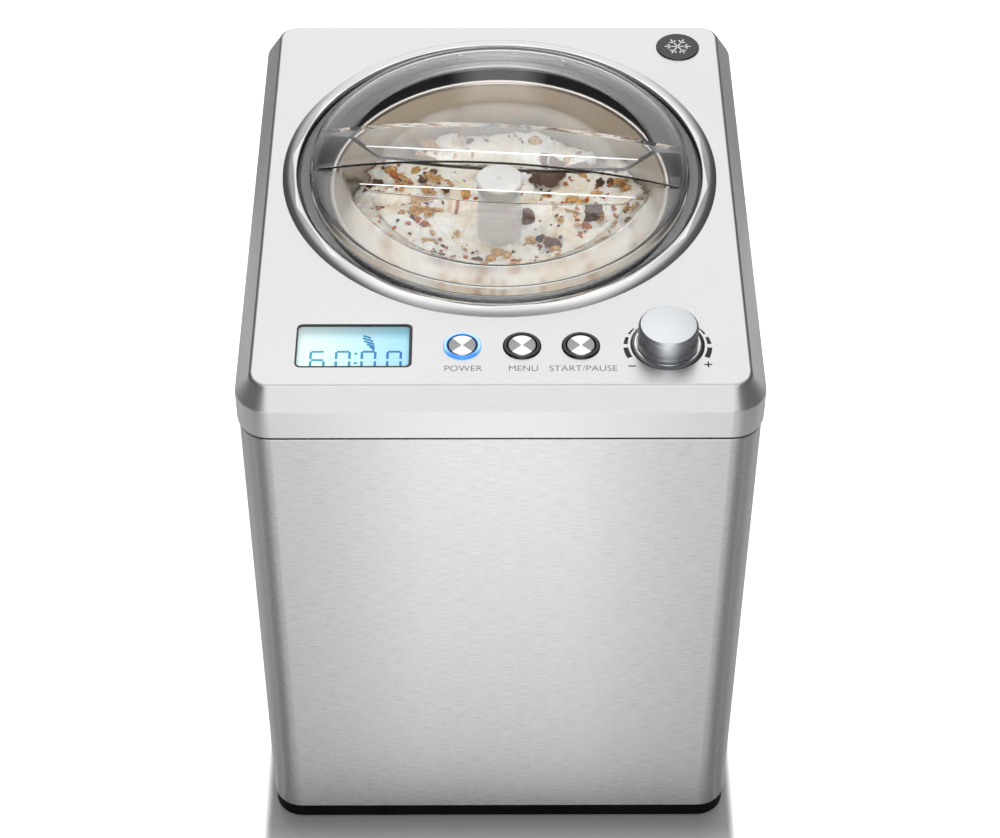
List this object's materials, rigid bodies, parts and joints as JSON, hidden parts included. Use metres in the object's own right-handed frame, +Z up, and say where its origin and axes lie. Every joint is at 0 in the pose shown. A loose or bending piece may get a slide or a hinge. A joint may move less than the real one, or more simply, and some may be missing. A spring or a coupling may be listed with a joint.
{
  "type": "ice cream maker",
  "caption": "Upright compressor ice cream maker: steel-clad body, lift-out bowl with bottom-driven paddle under a clear lid, display, push buttons and rotary knob on top",
  "frame": {"origin": "centre of the footprint on the surface that the feet stand on", "axes": "+Z up, controls at the front on -Y, +X to the right seen from the front"},
  "size_m": [0.273, 0.317, 0.3795],
  "materials": {
    "black_abs": "moulded ABS",
    "gloss_black": "gloss moulded",
    "rubber": "moulded rubber",
    "brushed_steel": "brushed across",
    "brushed_silver": "brushed across, satin",
    "polished_silver": "polished",
    "aluminium": "drawn aluminium",
    "zinc_steel": "zinc plated",
    "copper": "drawn copper tube",
    "foam": "rigid foam",
    "hardened_steel": "ground",
    "winding": "enamelled wire",
    "bronze": "sintered bronze",
    "acetal": "moulded acetal",
    "white_pp": "translucent white polypropylene",
    "clear_plastic": "clear moulded, part frosted",
    "black_paint": "painted",
    "circuit_board": "solder resist",
    "component": "moulded electronic parts",
    "display_lens": "lit display lens",
    "spun_aluminium": "spun finish",
    "grey_plastic": "printed disc",
    "lit_ring": "lit translucent ring"
  },
  "bodies": {
    "housing": {"badge_disc": "grey_plastic", "base_tray": "black_abs", "bearing_bush": "bronze", "bowl_collar": "polished_silver", "button_rings": "gloss_black", "capillary": "copper", "case_screws": "zinc_steel", "chamber_cup": "aluminium", "chamber_tray": "black_abs", "compressor_base": "zinc_steel", "compressor_grommets": "rubber", "compressor_shell": "black_paint", "condenser_fins": "aluminium", "condenser_tube": "copper", "control_board": "circuit_board", "cord_gland": "black_abs", "deck_plate": "zinc_steel", "display_bezel": "gloss_black", "display_module": "component", "display_window": "display_lens", "encoder": "black_abs", "evaporator_coil": "copper", "fan_motor": "zinc_steel", "fan_shroud": "black_abs", "filter_drier": "copper", "foam_insulation": "foam", "gearbox_cover": "black_abs", "gearbox_housing": "black_abs", "idler_pin": "hardened_steel", "knob_ring": "spun_aluminium", "motor_can": "zinc_steel", "motor_stator": "winding", "power_board": "circuit_board", "power_parts": "component", "power_ring": "lit_ring", "rear_panel": "black_abs", "refrigerant_lines": "copper", "rubber_feet": "rubber", "shaft_seal": "rubber", "steel_wrap": "brushed_steel", "support_posts": "zinc_steel", "tact_switches": "component", "terminal_cover": "black_abs", "top_cover": "brushed_silver", "top_frame": "black_abs", "well_ring": "black_abs"},
    "bowl": {"mixing_bowl": "aluminium"},
    "paddle": {"paddle": "white_pp"},
    "lid": {"lid": "clear_plastic"},
    "drive": {"drive_shaft": "hardened_steel", "output_gear": "acetal"},
    "idler": {"idler_gear": "acetal"},
    "motor": {"motor_rotor": "hardened_steel", "motor_pinion": "bronze"},
    "fan": {"fan_rotor": "black_abs"},
    "knob": {"control_knob": "spun_aluminium", "encoder_shaft": "hardened_steel"},
    "power_key": {"power_button": "spun_aluminium"},
    "menu_key": {"menu_button": "spun_aluminium"},
    "start_key": {"start_button": "spun_aluminium"}
  },
  "joints": [
    {"name": "bowl_lift", "type": "slide", "parent": "housing", "child": "bowl", "axis": [0, 0, 1], "range_m": [0, 0.13]},
    {"name": "lid_lift", "type": "slide", "parent": "bowl", "child": "lid", "axis": [0, 0, 1], "range_m": [0, 0.06]},
    {"name": "paddle_spin", "type": "hinge", "parent": "bowl", "child": "paddle", "pos_m": [0, 0.0188, 0.3], "axis": [0, 0, 1], "continuous": true},
    {"name": "drive_spin", "type": "hinge", "parent": "housing", "child": "drive", "pos_m": [0, 0.0188, 0.2], "axis": [0, 0, 1], "continuous": true},
    {"name": "idler_spin", "type": "hinge", "parent": "housing", "child": "idler", "pos_m": [0.02438, -0.02342, 0.16], "axis": [0, 0, 1], "continuous": true},
    {"name": "motor_spin", "type": "hinge", "parent": "housing", "child": "motor", "pos_m": [0.04688, -0.06239, 0.12], "axis": [0, 0, 1], "continuous": true},
    {"name": "fan_spin", "type": "hinge", "parent": "housing", "child": "fan", "pos_m": [0.068, 0.09, 0.07], "axis": [0, 1, 0], "continuous": true},
    {"name": "knob_turn", "type": "hinge", "parent": "housing", "child": "knob", "pos_m": [0.086, -0.1216, 0.365], "axis": [0, 0, 1], "continuous": true},
    {"name": "power_press", "type": "slide", "parent": "housing", "child": "power_key", "axis": [0, 0, -1], "range_m": [0, 0.0008], "stiffness_N_per_m": 300},
    {"name": "menu_press", "type": "slide", "parent": "housing", "child": "menu_key", "axis": [0, 0, -1], "range_m": [0, 0.0008], "stiffness_N_per_m": 300},
    {"name": "start_press", "type": "slide", "parent": "housing", "child": "start_key", "axis": [0, 0, -1], "range_m": [0, 0.0008], "stiffness_N_per_m": 300}
  ],
  "couplings": [
    {"joint": "drive_spin", "follows": "paddle_spin", "ratio": 1},
    {"joint": "idler_spin", "follows": "paddle_spin", "ratio": -4.5714},
    {"joint": "motor_spin", "follows": "paddle_spin", "ratio": 22.857}
  ]
}
